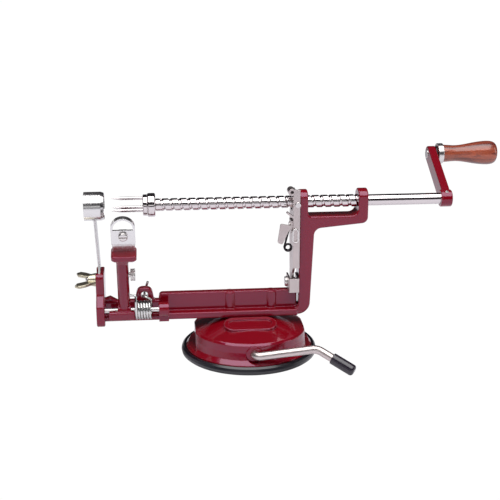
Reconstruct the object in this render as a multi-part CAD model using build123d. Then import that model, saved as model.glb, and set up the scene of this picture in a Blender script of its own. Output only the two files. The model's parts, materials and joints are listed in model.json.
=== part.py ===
from build123d import *
import os
from math import cos, radians, sin

# Apple peeler and corer on a suction base.  Millimetres, +Z up.
# X runs along the shaft towards the crank, Y runs to the back, and the origin
# is the centre of the suction cup's underside, on the table.

# ---------------------------------------------------------------- main layout
AXIS_Z = 113.0          # height of the shaft's centre line
RAIL_Z = 29.5           # underside of the rail, which stands on the base
RAIL_LEFT = -66.0       # left end of the rail's full-height rib
COLUMN_X = 36.0         # left face of the column
SUPPORT_X = 78.8        # left face of the outer shaft support
PLATE_RIGHT = -104.5    # right face of the blade plate at the left end
FIT = 0.05              # radial clearance of every running bore

# ---------------------------------------------------------------- frame casting
RIB_HALF = 3.0          # half thickness of the upright rib
RIB_TOP = 47.5          # top of the rail's rib
FLANGE_HALF = 10.0      # half width of the rail's flange
FLANGE_T = 4.8          # thickness of the rail's flange
COLUMN_TOP_T = 11.0     # column thickness at the top arm
COLUMN_FOOT_T = 8.2     # column thickness at the rail
COLUMN_HALF = 7.6       # half width of the column, the arm and the shaft supports
CORNER_R = 9.0          # outer corner between rail and column
ARM_TOP = AXIS_Z - 9.7  # top face of the arm
ARM_DEPTH = 9.1         # depth of the arm at the column
ARM_END_DEPTH = 5.5     # and at its far end
LEFT_SUPPORT_T = 6.2    # thickness of the shaft support on the column
SUPPORT_T = 7.1         # and of the outer one
EYE_R = 9.0             # outer radius of each shaft eye, cut off flush with the arm
SCREW_BOSS_R = 4.7      # half-round bosses on the rail for the base screws
SCREW_XS = (-14.0, 16.5)
EDGE_R = 1.0            # rounding of cast edges

# ---------------------------------------------------------------- left end
PLATE_T = 6.0           # thickness of the blade plate
PLATE_REBATE = 3.5      # depth of the channel for the blade's shank
PLATE_STEP_Z = 50.0     # lower end of that channel
PLATE_TOP = 65.6
PLATE_HALF = 11.5
PLATE_BOTTOM = 27.8
PLATE_FRONT = -18.5     # front edge of the plate's foot, round the pivot rod
BAY_FLOOR_T = 2.7       # thickness of the floor between plate and rail
BAY_WEB_TOP = 42.5      # low web behind the arm
LUG_X = -76.2           # centre of the spring lug
LUG_HALF = 7.0          # half width of the lug at its root
LUG_NECK = 5.2          # and near its top
LUG_HOLE_Z = 46.8
LUG_HOLE_R = 2.5
LUG_TOP = 52.0

# ---------------------------------------------------------------- shaft and crank
THREAD_R = 4.5          # outer radius of the threaded length
THREAD_PITCH = 6.35
GROOVE_R = 1.3          # radius of the half-round groove
GROOVE_DEPTH = 0.8
THREAD_LEFT = -63.0
THREAD_RIGHT = 80.0
PLAIN_R = 4.1           # radius of the plain length
SHOULDER_X = -66.5      # left end of the full shaft
SPIGOT_R = 3.0          # spigot that carries the collar and the fork
COLLAR_T = 6.0
COLLAR_R = 8.5
COLLAR_PLAY = 0.1       # end play on each side of the collar
FORK_T = 3.0
FORK_R = 7.6
PRONG_CIRCLE = 5.2      # radius on which the three prongs stand
PRONG_R = 1.2
PRONG_L = 22.0
CRANK_X = 140.2         # left face of the crank's hub
CRANK_HUB_L = 8.2
CRANK_HUB_R = 6.2
CRANK_ARM_T = 6.0
CRANK_ARM_X = 141.2     # left face of the arm
CRANK_EYE_R = 5.8
CRANK_RADIUS = 50.0
CRANK_TILT = 60.5       # angle of the arm from upright, towards the back
CROSS_PIN_R = 1.2
HANDLE_PIN_R = 2.6
HANDLE_HEAD_R = 4.4
HANDLE_HEAD_T = 1.8
WASHER_T = 1.2
WASHER_R = 5.6
GRIP_GAP = 0.3
FERRULE_L = 4.2
FERRULE_R = 7.8
FERRULE_WALL = 1.1
GRIP_L = 46.0           # length of the wooden grip, with the part in the ferrule
GRIP_NECK_R = 6.1
GRIP_BELLY_R = 9.0

# ---------------------------------------------------------------- blade and its bolt
BLADE_T = 1.5
SHANK_HALF = 8.0
BLADE_HALF = 6.5
BLADE_LEAN = 2.0        # how far the blade leans out by the ring
RING_R = 10.2
RING_WALL = 0.9
RING_L = 14.0
BOLT_Z = 58.4
BOLT_R = 2.5
BOLT_HEAD_R = 4.4
BOLT_HEAD_T = 1.9
BOLT_END_X = -118.0
BOLT_WASHER_T = 1.2
BOLT_WASHER_R = 5.6
NUT_L = 6.4
NUT_R = 4.9
WING_SPAN = 13.0
WING_L = 9.0
WING_T = 2.2
WING_TURN = 97.0        # how far the wings are turned from upright at rest

# ---------------------------------------------------------------- peeling arm
ROD_Y = -13.0
ROD_Z = 39.0
ROD_R = 1.7
ROD_BOSS_L = 7.0
ROD_BOSS_R = 5.2
ARM_X = -90.6           # centre of the peeling arm
ARM_LEAN = 17.5         # how far the arm leans to the front at rest
POST_W = 8.4
POST_D = 8.0
POST_H = 46.7
HUB_R = 5.5
HUB_L = 9.6
FOOT_L = 17.8
FOOT_SHIFT = -1.8       # the foot bar's centre from the arm's centre
FOOT_LOW = -4.8         # underside of the foot bar from the rod
FOOT_HIGH = 2.2         # and its top
HEAD_W = 17.6
HEAD_FRONT = -9.1       # front and back of the head from the arm's centre
HEAD_BACK = 5.0
HEAD_H = 5.0
HEAD_SHIFT = 1.5        # the head's centre from the arm's centre
HOLDER_T = 1.6
HOLDER_W = 15.6
HOLDER_H = 17.0
HOLDER_SHOULDER = 5.6   # height of the holder's full-width wall
LOOP_R = 8.2            # outer radius of the peeler blade's arch
LOOP_WALL = 1.3
LOOP_D = 5.0
LOOP_TOP = 78.7
PEELER_SCREW_Z = 65.0
PEELER_SCREW_R = 1.9
HOLDER_RIVET_XS = (-5.4, 5.4)
HOLDER_RIVET_Y = 2.7
HOLDER_RIVET_R = 0.9
STUD_Z = 31.0           # the stud on the side of the post
STUD_R = 1.6
STUD_HEAD_R = 4.3
COIL_WIRE_R = 0.9
COIL_R = 6.1
COIL_TURNS = 5.5
COIL_PITCH = 1.95
COIL_X = -82.2          # left end of the coil
SPRING_LEG_Z = 13.0     # height on the arm at which the spring's leg enters it

# ---------------------------------------------------------------- release lever
LEVER_X = 31.0          # left face of the lever plate
LEVER_T = 1.6
LEVER_PIVOT_Z = 53.0
LEVER_TOP = AXIS_Z + 11.0
LEVER_FRONT = -11.0
LEVER_BACK = 9.0
LEVER_FLANGE_W = 4.8
BRACKET_T = 1.2
BRACKET_X = 28.4
BRACKET_H = 10.5
BRACKET_FRONT = -11.4
PIVOT_R = 2.0
PIVOT_WIRE_R = 0.35     # small spring on the lever's pivot
PIVOT_COIL_R = 2.6
PIN_BODY_R = 1.3        # the pin that runs in the thread, and its slim tip
PIN_R = 0.5
PIN_BITE = 0.5          # how deep the pin reaches into the groove
PIN_X = 34.2
ROLL_R = 2.6            # rolled top of the lever
TAB_Z = AXIS_Z - 16.0   # height of the thumb tab's rivet
TAB_T = 1.4
TAB_FRONT = -9.3        # front face of the thumb tab
TAB_Y = -4.0            # where its rivet sits
TAB_RIVET_R = 1.2
LINK_L = 11.0
LINK_W = 4.9
LINK_T = 1.1
LINK_X = 32.6
LINK_Z = AXIS_Z - 22.5
TRIP_WIRE_R = 0.8       # small black spring behind the thumb tab
TRIP_COIL_R = 2.4
TRIP_LEG_R = 0.72       # its leg is drawn a little thinner
TRIP_X = 27.6
TRIP_Z = AXIS_Z - 31.6
TRIP_LEG_L = 12.3
TRIP_LEAN = 14.0        # how far its leg leans towards the lever

# ---------------------------------------------------------------- suction base
CUP_R = 50.0
BEAD_H = 6.0
CUP_SEAT_Z = 4.5
BASE_FLANGE_R = 46.5
DRUM_R = 42.0
DRUM_FLAT = 40.0
DRUM_Z = 20.0
BASE_WALL = 4.5
PAD_R = 13.5
CAM_Z = 13.0
CAM_HUB_R = 6.0
CAM_PIN_R = 2.5
CAM_THROW = 2.5
CAM_TAIL_R = 3.0
CAM_HALF = 10.0         # half length of the eccentric
CAM_FRONT = -42.2
CAM_BACK = 35.0
STUD_PLATE_R = 9.0
STUD_PLATE_T = 1.5
STUD_WALL = 2.0
STUD_HALF = 3.0
WINDOW_SPARE = 0.9
LEVER_ROD_R = 3.0
LEVER_ROOT_Y = -46.5    # the lever swings just in front of the base
LEVER_BEND = (44.3, -43.5, 16.2)
LEVER_END = (67.0, -57.0, 4.9)
LEVER_ROOT_BEND = 4.2
LEVER_BEND_R = 9.0
SOCKET_L = 12.0         # how deep the lever sits in the cam shaft
TIP_R = 4.1
TIP_L = 18.0
TIP_WALL = 2.0
BASE_SCREW_R = 2.4
BASE_SCREW_HEAD_R = 4.0
BASE_SCREW_HEAD_T = 3.0


# ---------------------------------------------------------------- helpers
def block(x0, x1, y0, y1, z0, z1):
    """A box between two corners."""
    return Pos((x0 + x1) / 2, (y0 + y1) / 2, (z0 + z1) / 2) * Box(x1 - x0, y1 - y0, z1 - z0)


def rod_x(radius, x0, x1, y=0.0, z=0.0):
    """A cylinder along X."""
    return Pos((x0 + x1) / 2, y, z) * Rot(0, 90, 0) * Cylinder(radius, x1 - x0)


def rod_y(radius, y0, y1, x=0.0, z=0.0):
    """A cylinder along Y."""
    return Pos(x, (y0 + y1) / 2, z) * Rot(90, 0, 0) * Cylinder(radius, y1 - y0)


def rod_z(radius, z0, z1, x=0.0, y=0.0):
    """A cylinder along Z."""
    return Pos(x, y, (z0 + z1) / 2) * Cylinder(radius, z1 - z0)


def rim_edges(solid, index, places):
    """The edges that lie in planes across axis 0, 1 or 2, at the given places."""
    found = []
    for edge in solid.edges():
        box = edge.bounding_box()
        low, high = tuple(box.min)[index], tuple(box.max)[index]
        flat = abs(high - low) < 1e-3
        if flat and any(abs(low - place) < 1e-3 for place in places):
            found.append(edge)
    return found


def rounded(solid, index, places, radius):
    """Round the edges of a solid that lie in the given planes."""
    return fillet(rim_edges(solid, index, places), radius)


def outline_xz(points, corners=()):
    """A face in the XZ plane; corners gives (point number, radius) pairs."""
    face = make_face(Polyline(*[(x, 0, z) for x, z in points], close=True))
    for number, radius in corners:
        spot = Vector(points[number][0], 0, points[number][1])
        nearest = min(face.vertices(), key=lambda v: (Vector(*v) - spot).length)
        face = fillet([nearest], radius)
    return face


def outline_yz(points, corners=()):
    """A face in the YZ plane; corners gives (point number, radius) pairs."""
    face = make_face(Polyline(*[(0, y, z) for y, z in points], close=True))
    for number, radius in corners:
        spot = Vector(0, points[number][0], points[number][1])
        nearest = min(face.vertices(), key=lambda v: (Vector(*v) - spot).length)
        face = fillet([nearest], radius)
    return face


def across_y(face, half):
    """A face of the XZ plane made solid, half to each side."""
    return extrude(face, amount=half, dir=(0, 1, 0), both=True)


def across_x(face, x0, x1):
    """A face of the YZ plane made solid between two places along X."""
    return Pos(x0, 0, 0) * extrude(face, amount=x1 - x0, dir=(1, 0, 0))


def spun(points):
    """A solid of revolution about Z from (radius, z) points."""
    return revolve(make_face(Polyline(*[(r, 0, z) for r, z in points], close=True)), Axis.Z)


def along_x(solid, x, y, z):
    """Turn a solid made up along Z so that it runs along +X from a point."""
    return Pos(x, y, z) * Rot(0, 90, 0) * solid


def wire_rod(radius, points, bends):
    """A round wire through points, with an arc at each inner point."""
    path = FilletPolyline(*points, radius=bends)
    way = (Vector(*points[1]) - Vector(*points[0])).normalized()
    return sweep(Plane(origin=points[0], z_dir=way) * Circle(radius), path=path)


def coil(wire_r, mean_r, turns, pitch):
    """A helical spring body that starts at the origin and rises along Z."""
    path = Helix(pitch=pitch, height=turns * pitch, radius=mean_r)
    return sweep(Plane(origin=path @ 0, z_dir=path % 0) * Circle(wire_r), path=path, is_frenet=True)


# ---------------------------------------------------------------- frame
def rail():
    """The inverted-T rail, its two screw bosses and the boss of the pivot rod."""
    foot_right = COLUMN_X + COLUMN_FOOT_T
    rib = outline_xz([(RAIL_LEFT, RAIL_Z), (foot_right - CORNER_R, RAIL_Z),
                      (foot_right - CORNER_R, RIB_TOP), (RAIL_LEFT, RIB_TOP)], [(3, 3.0)])
    rib = rounded(across_y(rib, RIB_HALF), 1, (-RIB_HALF, RIB_HALF), EDGE_R)
    flange = block(RAIL_LEFT, foot_right - CORNER_R, -FLANGE_HALF, FLANGE_HALF, RAIL_Z, RAIL_Z + FLANGE_T)
    flange = rounded(flange, 1, (-FLANGE_HALF, FLANGE_HALF), EDGE_R)
    whole = rib + flange
    for x in SCREW_XS:
        whole += rounded(rod_z(SCREW_BOSS_R, RAIL_Z, RIB_TOP - 0.4, x), 2, (RIB_TOP - 0.4,), EDGE_R)
    boss = rod_x(ROD_BOSS_R, RAIL_LEFT, RAIL_LEFT + ROD_BOSS_L, ROD_Y, ROD_Z)
    web = block(RAIL_LEFT, RAIL_LEFT + ROD_BOSS_L, ROD_Y, 0, RAIL_Z, ROD_Z + 1.5)
    return whole + boss + web


def shaft_eye(x0, x1):
    """The round top of a shaft support, cut off flush with the arm's faces."""
    disc = (Pos(0, AXIS_Z) * Circle(EYE_R)) & (Pos(0, AXIS_Z + EYE_R / 2) * Rectangle(2 * COLUMN_HALF, EYE_R + 4))
    shoulders = [v for v in disc.vertices() if v.Y > AXIS_Z]
    disc = fillet(shoulders, 2.5)
    return Pos(x0, 0, 0) * extrude(Plane.YZ * disc, amount=x1 - x0, dir=(1, 0, 0))


def column_and_arm():
    """The column, the top arm and both shaft supports, one bar bent round the open side."""
    foot_right = COLUMN_X + COLUMN_FOOT_T
    left_end = COLUMN_X + LEFT_SUPPORT_T
    end = SUPPORT_X + SUPPORT_T
    low = RAIL_Z + FLANGE_T
    root = foot_right - CORNER_R - 4
    side = outline_xz([(root, RAIL_Z), (foot_right, RAIL_Z), (COLUMN_X + COLUMN_TOP_T, ARM_TOP - ARM_DEPTH),
                       (end, ARM_TOP - ARM_END_DEPTH), (end, AXIS_Z), (SUPPORT_X, AXIS_Z), (SUPPORT_X, ARM_TOP),
                       (left_end, ARM_TOP), (left_end, AXIS_Z), (COLUMN_X, AXIS_Z), (COLUMN_X, low), (root, low)],
                      [(1, CORNER_R), (2, 5.5), (3, 4.5), (6, 5.0), (7, 3.0), (10, 4.0)])
    whole = across_y(side, COLUMN_HALF) + shaft_eye(COLUMN_X, left_end) + shaft_eye(SUPPORT_X, end)
    faces = rim_edges(whole, 1, (-COLUMN_HALF, COLUMN_HALF))
    tops = [e for e in rim_edges(whole, 0, (COLUMN_X, left_end, SUPPORT_X, end)) if e.center().Z > AXIS_Z + 0.1]
    return fillet(faces + [e for e in tops if e not in faces], EDGE_R)


def blade_plate():
    """The upright plate at the left end, with a channel for the blade's shank."""
    left = PLATE_RIGHT - PLATE_T
    side = SHANK_HALF + 2 * FIT
    face = outline_yz([(PLATE_FRONT, PLATE_BOTTOM), (PLATE_HALF, PLATE_BOTTOM), (PLATE_HALF, PLATE_TOP),
                       (-PLATE_HALF, PLATE_TOP), (-PLATE_HALF, PLATE_STEP_Z), (PLATE_FRONT, ROD_Z + 4)],
                      [(0, 4.0), (1, 4.0), (2, 4.0), (3, 4.0), (4, 3.0), (5, 3.0)])
    plate = rounded(across_x(face, left, PLATE_RIGHT), 0, (left, PLATE_RIGHT), EDGE_R)
    return plate - block(left - 1, left + PLATE_REBATE, -side, side, PLATE_STEP_Z, PLATE_TOP + 1)


def arm_bay():
    """Floor, low web and spring lug between the blade plate and the rail."""
    left, right = PLATE_RIGHT - 2, RAIL_LEFT + 3
    floor = block(left, right, -FLANGE_HALF, FLANGE_HALF, RAIL_Z, RAIL_Z + BAY_FLOOR_T)
    floor = rounded(floor, 1, (-FLANGE_HALF, FLANGE_HALF), EDGE_R)
    web = outline_xz([(left, RAIL_Z + 1), (right, RAIL_Z + 1), (right, BAY_WEB_TOP),
                      (LUG_X + LUG_HALF, BAY_WEB_TOP), (LUG_X + LUG_NECK, LUG_TOP), (LUG_X - LUG_NECK, LUG_TOP),
                      (LUG_X - LUG_HALF, BAY_WEB_TOP), (PLATE_RIGHT + 8.7, BAY_WEB_TOP),
                      (PLATE_RIGHT + 3.5, BAY_WEB_TOP + 3), (left, BAY_WEB_TOP + 1)],
                     [(3, 1.5), (4, 4.8), (5, 4.8), (6, 1.5)])
    return floor + rounded(across_y(web, RIB_HALF), 1, (-RIB_HALF, RIB_HALF), EDGE_R)


def frame_casting():
    """The whole red casting with every bore."""
    whole = rail() + column_and_arm() + blade_plate() + arm_bay()
    whole -= rod_x(THREAD_R + FIT, COLUMN_X - 1, SUPPORT_X + SUPPORT_T + 1, 0, AXIS_Z)
    whole -= rod_x(ROD_R, PLATE_RIGHT - PLATE_T + 1.0, RAIL_LEFT + ROD_BOSS_L - 1.5, ROD_Y, ROD_Z)
    whole -= rod_y(LUG_HOLE_R, -RIB_HALF - 1, RIB_HALF + 1, LUG_X, LUG_HOLE_Z)
    whole -= rod_x(BOLT_R + FIT, PLATE_RIGHT - PLATE_T, PLATE_RIGHT + 1, 0, BOLT_Z)
    whole -= bolt_cone()
    whole -= rod_x(PIVOT_R, COLUMN_X - 1, COLUMN_X + 5, 0, LEVER_PIVOT_Z)
    for x in SCREW_XS:
        whole -= rod_z(BASE_SCREW_R, RAIL_Z - 1, RIB_TOP - 5, x)
    return whole


# ---------------------------------------------------------------- suction base
def base_screw_top():
    """Where the base screws end inside the rail's bosses."""
    return RIB_TOP - 6.5


def screw_seat_z():
    """Underside of the base's roof, where the screw heads bear."""
    return RAIL_Z - BASE_WALL


def drum_profile_out():
    """Outer outline of the base from the top pad to the flange, as (radius, z)."""
    return [(PAD_R, RAIL_Z), (DRUM_R - 1.2, DRUM_Z + 0.4), (DRUM_R, DRUM_Z - 1.0),
            (DRUM_R + 0.3, DRUM_Z - 6), (DRUM_R + 1.3, CUP_SEAT_Z + 4.5),
            (BASE_FLANGE_R, CUP_SEAT_Z + 1.6), (BASE_FLANGE_R, CUP_SEAT_Z)]


def base_housing():
    """The cast cover over the suction cup, hollow, with the two cam bearings."""
    inner = DRUM_R - 3.5
    outer = spun([(0, RAIL_Z)] + drum_profile_out() + [(0, CUP_SEAT_Z)])
    hollow = spun([(0, CUP_SEAT_Z - 1), (inner + 1.2, CUP_SEAT_Z - 1), (inner, CUP_SEAT_Z + 5),
                   (inner, DRUM_Z - 3), (inner - 14, screw_seat_z()), (0, screw_seat_z())])
    flats = block(-DRUM_FLAT, DRUM_FLAT, -60, 60, CUP_SEAT_Z + 3.2, RAIL_Z)
    skirt = block(-60, 60, -60, 60, 0, CUP_SEAT_Z + 3.2)
    outer = outer & (flats + skirt)
    bosses = rod_y(CAM_HUB_R + 2, -DRUM_R - 2, -DRUM_R + 10, 0, CAM_Z)
    bosses += rod_y(CAM_TAIL_R + 3, CAM_BACK - 6, DRUM_R, 0, CAM_Z)
    whole = (outer - hollow) + (bosses & outer)
    whole -= rod_y(CAM_HUB_R + FIT, -DRUM_R - 6, -DRUM_R + 12, 0, CAM_Z)
    whole -= rod_y(CAM_TAIL_R + FIT, CAM_BACK - 8, CAM_BACK + 1, 0, CAM_Z)
    for x in SCREW_XS:
        whole -= rod_z(BASE_SCREW_R + 0.2, CUP_SEAT_Z, RAIL_Z + 1, x)
    return whole + label_panel()


def label_panel():
    """The raised blank oval frame on the sloping front of the base."""
    slope = (RAIL_Z - DRUM_Z - 0.4) / (DRUM_R - 1.2 - PAD_R)
    z_at = RAIL_Z - (18.5 - PAD_R) * slope
    tilt = -18.0
    outer = extrude(SlotOverall(38.0, 15.0), amount=3.2)
    pocket = Pos(0, 0, 2.2) * extrude(SlotOverall(31.5, 8.6), amount=2)
    ring = fillet(outer.edges().group_by(Axis.Z)[-1], 0.6) - pocket
    return Pos(-0.7, -18.5, z_at - 2.6) * Rot(-tilt, 0, 0) * ring


def suction_cup():
    """The rubber disc with its outer bead, hollow underneath."""
    rim = BASE_FLANGE_R + 0.3
    return spun([(0, 2.2), (39, 1.6), (44, 0), (CUP_R - 1.6, 0), (CUP_R - 0.4, 1.0), (CUP_R, 3.0),
                 (CUP_R - 0.5, BEAD_H - 1.2), (CUP_R - 1.7, BEAD_H), (rim, BEAD_H - 0.6),
                 (rim, CUP_SEAT_Z), (STUD_PLATE_R + 3, CUP_SEAT_Z),
                 (STUD_PLATE_R + 2.4, CUP_SEAT_Z + STUD_PLATE_T), (STUD_PLATE_R + 0.1, CUP_SEAT_Z + STUD_PLATE_T),
                 (STUD_PLATE_R + 0.1, CUP_SEAT_Z), (0, CUP_SEAT_Z)])


def pull_stud():
    """The steel stirrup on the cup, lifted by the cam."""
    half_w = CAM_PIN_R + CAM_THROW + 0.3
    low = CAM_Z - CAM_THROW - CAM_PIN_R - WINDOW_SPARE
    high = CAM_Z - CAM_THROW + CAM_PIN_R + WINDOW_SPARE
    plate = rod_z(STUD_PLATE_R, CUP_SEAT_Z, CUP_SEAT_Z + STUD_PLATE_T)
    frame = block(-half_w - STUD_WALL, half_w + STUD_WALL, -STUD_HALF, STUD_HALF,
                  CUP_SEAT_Z + STUD_PLATE_T - 0.2, high + STUD_WALL)
    frame = rounded(frame, 0, (-half_w - STUD_WALL, half_w + STUD_WALL), 0.6)
    return plate + frame - block(-half_w, half_w, -STUD_HALF - 1, STUD_HALF + 1, low, high)


def cam_shaft():
    """The cross shaft with its eccentric, at rest with the throw downwards."""
    hub = rod_y(CAM_HUB_R, CAM_FRONT, -CAM_HALF, 0, CAM_Z)
    throw = rod_y(CAM_PIN_R, -CAM_HALF - 0.5, CAM_HALF + 0.5, 0, CAM_Z - CAM_THROW)
    tail = rod_y(CAM_TAIL_R, CAM_HALF, CAM_BACK, 0, CAM_Z)
    socket = rod_y(LEVER_ROD_R, CAM_FRONT - 1, CAM_FRONT + SOCKET_L, 0, CAM_Z)
    return rounded(hub, 1, (CAM_FRONT,), 0.8) + throw + tail - socket


def lever_path():
    """The points of the suction lever's centre line, from inside the cam shaft to its tip."""
    return [(0, CAM_FRONT + SOCKET_L, CAM_Z), (0, LEVER_ROOT_Y, CAM_Z), LEVER_BEND, LEVER_END]


def suction_lever():
    """The bent steel rod that turns the cam."""
    return wire_rod(LEVER_ROD_R, lever_path(), [LEVER_ROOT_BEND, LEVER_BEND_R])


def lever_tip():
    """The soft sleeve on the end of the rod."""
    end, before = Vector(*lever_path()[-1]), Vector(*lever_path()[-2])
    way = (end - before).normalized()
    plane = Plane(origin=end - way * (TIP_L - TIP_WALL), z_dir=way)
    sleeve = Cylinder(TIP_R, TIP_L, align=(Align.CENTER, Align.CENTER, Align.MIN))
    sleeve = fillet(sleeve.edges().group_by(Axis.Z)[-1], 2.2)
    sleeve = fillet(sleeve.edges().group_by(Axis.Z)[0], 0.5)
    bore = Cylinder(LEVER_ROD_R, TIP_L - TIP_WALL, align=(Align.CENTER, Align.CENTER, Align.MIN))
    return plane.location * (sleeve - bore)


def base_screws():
    """Two pan-head screws from inside the base up into the rail."""
    group = []
    for x in SCREW_XS:
        top = screw_seat_z()
        head = rounded(rod_z(BASE_SCREW_HEAD_R, top - BASE_SCREW_HEAD_T, top, x), 2,
                       (top - BASE_SCREW_HEAD_T,), 1.0)
        slot = block(x - BASE_SCREW_HEAD_R, x + BASE_SCREW_HEAD_R, -0.5, 0.5,
                     top - BASE_SCREW_HEAD_T - 1, top - BASE_SCREW_HEAD_T + 1.2)
        group.append(head + rod_z(BASE_SCREW_R, top - 0.2, base_screw_top(), x) - slot)
    return Compound(children=group)


# ---------------------------------------------------------------- shaft and crank
def shaft_end_x():
    """Right end of the shaft, flush with the crank's hub."""
    return CRANK_X + CRANK_HUB_L


def fork_left_x():
    """Left face of the fork's plate."""
    return SHOULDER_X - COLLAR_T - FORK_T


def threaded_shaft():
    """The shaft: spigot, threaded length with one helical groove, plain length."""
    path = Helix(pitch=THREAD_PITCH, height=THREAD_RIGHT - THREAD_LEFT,
                 radius=THREAD_R + GROOVE_R - GROOVE_DEPTH)
    groove = sweep(Plane(origin=path @ 0, z_dir=path % 0) * Circle(GROOVE_R), path=path, is_frenet=True)
    groove = along_x(Rot(0, 0, groove_phase()) * groove, THREAD_LEFT, 0, AXIS_Z)
    threaded = rod_x(THREAD_R, SHOULDER_X, THREAD_RIGHT + 1.5, 0, AXIS_Z)
    threaded = rounded(threaded, 0, (SHOULDER_X, THREAD_RIGHT + 1.5), 0.35)
    plain = rod_x(PLAIN_R, THREAD_RIGHT, shaft_end_x(), 0, AXIS_Z)
    spigot = rod_x(SPIGOT_R, fork_left_x(), SHOULDER_X + 1, 0, AXIS_Z)
    pin = crank_pin_solid()
    return (threaded - groove) + plain + spigot - pin


def groove_phase():
    """Turns the groove so that it passes the release pin, which points back from the front."""
    turns = (PIN_X - THREAD_LEFT) / THREAD_PITCH
    return -90.0 - 360.0 * turns


def feed_collar():
    """The thrust collar between the shaft's shoulder and the fork."""
    left = SHOULDER_X - COLLAR_T + COLLAR_PLAY
    right = SHOULDER_X - COLLAR_PLAY
    ring = rounded(rod_x(COLLAR_R, left, right, 0, AXIS_Z), 0, (left, right), 1.2)
    return ring - rod_x(SPIGOT_R + FIT, left - 1, right + 1, 0, AXIS_Z)


def fruit_fork():
    """The fork's plate with three pointed prongs."""
    left = fork_left_x()
    plate = rounded(rod_x(FORK_R, left, left + FORK_T, 0, AXIS_Z), 0, (left,), 0.8)
    plate -= rod_x(SPIGOT_R, left - 1, left + FORK_T + 1, 0, AXIS_Z)
    prong = spun([(0, -0.5), (PRONG_R, -0.5), (PRONG_R, PRONG_L * 0.7), (0.15, PRONG_L), (0, PRONG_L)])
    for number in range(3):
        angle = radians(90 + 120 * number)
        y, z = PRONG_CIRCLE * cos(angle), AXIS_Z + PRONG_CIRCLE * sin(angle)
        plate += Pos(left, y, z) * Rot(0, -90, 0) * prong
    return plate


def crank_place():
    """Where the crank's own upright frame sits once it is tilted to the back."""
    return Pos(0, 0, AXIS_Z) * Rot(-CRANK_TILT, 0, 0)


def crank_pin_solid():
    """The cross pin through the crank's hub and the shaft."""
    middle = CRANK_X + CRANK_HUB_L / 2
    return crank_place() * rod_y(CROSS_PIN_R, -CRANK_HUB_R - 0.3, CRANK_HUB_R + 0.3, middle, 0)


def crank_arm():
    """The flat cranked arm with its hub and the eye for the handle pin."""
    x0, x1 = CRANK_ARM_X, CRANK_ARM_X + CRANK_ARM_T
    bar = across_x(outline_yz([(-CRANK_HUB_R, 0), (CRANK_HUB_R, 0), (CRANK_EYE_R, CRANK_RADIUS),
                               (-CRANK_EYE_R, CRANK_RADIUS)]), x0, x1)
    bar += rod_x(CRANK_EYE_R, x0, x1, 0, CRANK_RADIUS)
    bar += rod_x(CRANK_HUB_R, x0, x1)
    bar = rounded(bar, 0, (x0, x1), EDGE_R)
    hub = rod_x(CRANK_HUB_R, CRANK_X, shaft_end_x())
    hub = rounded(hub, 0, (CRANK_X, shaft_end_x()), 0.7)
    whole = bar + hub - rod_x(PLAIN_R, CRANK_X - 1, shaft_end_x() + 1)
    whole -= rod_x(HANDLE_PIN_R, x0 - 1, x1 + 1, 0, CRANK_RADIUS)
    return crank_place() * whole - crank_pin_solid()


def handle_place():
    """Centre line of the handle at rest: its Y and Z."""
    tilt = radians(CRANK_TILT)
    return CRANK_RADIUS * sin(tilt), AXIS_Z + CRANK_RADIUS * cos(tilt)


def grip_left_x():
    """Left end of the grip, past the washer and a small gap."""
    return CRANK_ARM_X + CRANK_ARM_T + WASHER_T + GRIP_GAP


def handle_pin():
    """The rivet that carries the grip, with a sunk head at the far end."""
    y, z = handle_place()
    left = CRANK_ARM_X - 0.6
    head = grip_left_x() + GRIP_L - 3.6
    shank = rod_x(HANDLE_PIN_R, left, head + 0.2, y, z)
    peen = rounded(rod_x(HANDLE_PIN_R + 0.9, left, CRANK_ARM_X, y, z), 0, (left,), 0.4)
    cap = rounded(rod_x(HANDLE_HEAD_R, head, head + HANDLE_HEAD_T, y, z), 0, (head + HANDLE_HEAD_T,), 0.8)
    return shank + peen + cap


def handle_washer():
    """The dark washer between the arm and the grip."""
    y, z = handle_place()
    left = CRANK_ARM_X + CRANK_ARM_T
    ring = rounded(rod_x(WASHER_R, left, left + WASHER_T, y, z), 0, (left + WASHER_T,), 0.3)
    return ring - rod_x(HANDLE_PIN_R, left - 1, left + WASHER_T + 1, y, z)


def grip_face():
    """Half section of the wooden grip as a face, radius along X and length along Z."""
    inside = FERRULE_R - FERRULE_WALL
    side = Spline((inside - 0.1, 0, FERRULE_L), (GRIP_NECK_R, 0, 13.0), (GRIP_BELLY_R, 0, GRIP_L - 9.0),
                  (HANDLE_HEAD_R + 1.2, 0, GRIP_L), tangents=((0, 0, 1), (-1, 0, 0.25)))
    ends = Polyline((HANDLE_HEAD_R + 1.2, 0, GRIP_L), (0, 0, GRIP_L), (0, 0, 0), (inside, 0, 0),
                    (inside, 0, FERRULE_L), (inside - 0.1, 0, FERRULE_L))
    return make_face([side, ends])


def wooden_grip():
    """The turned grip, bored for its pin and sunk for the pin's head."""
    y, z = handle_place()
    bore = Cylinder(HANDLE_PIN_R + FIT, GRIP_L * 3)
    sink = Pos(0, 0, GRIP_L) * Cylinder(HANDLE_HEAD_R + 0.3, 2 * 3.6 + 0.6)
    return along_x(revolve(grip_face(), Axis.Z) - bore - sink, grip_left_x(), y, z)


def grip_ferrule():
    """The plated ring round the grip's inner end."""
    y, z = handle_place()
    left = grip_left_x()
    ring = rounded(rod_x(FERRULE_R, left, left + FERRULE_L, y, z), 0, (left, left + FERRULE_L), 0.45)
    return ring - rod_x(FERRULE_R - FERRULE_WALL, left - 1, left + FERRULE_L + 1, y, z)


# ---------------------------------------------------------------- blade, ring and bolt
def shank_left_x():
    """Left face of the blade's shank, which fills the plate's rebate from the rebate's face."""
    return PLATE_RIGHT - PLATE_T + PLATE_REBATE - BLADE_T


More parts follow.
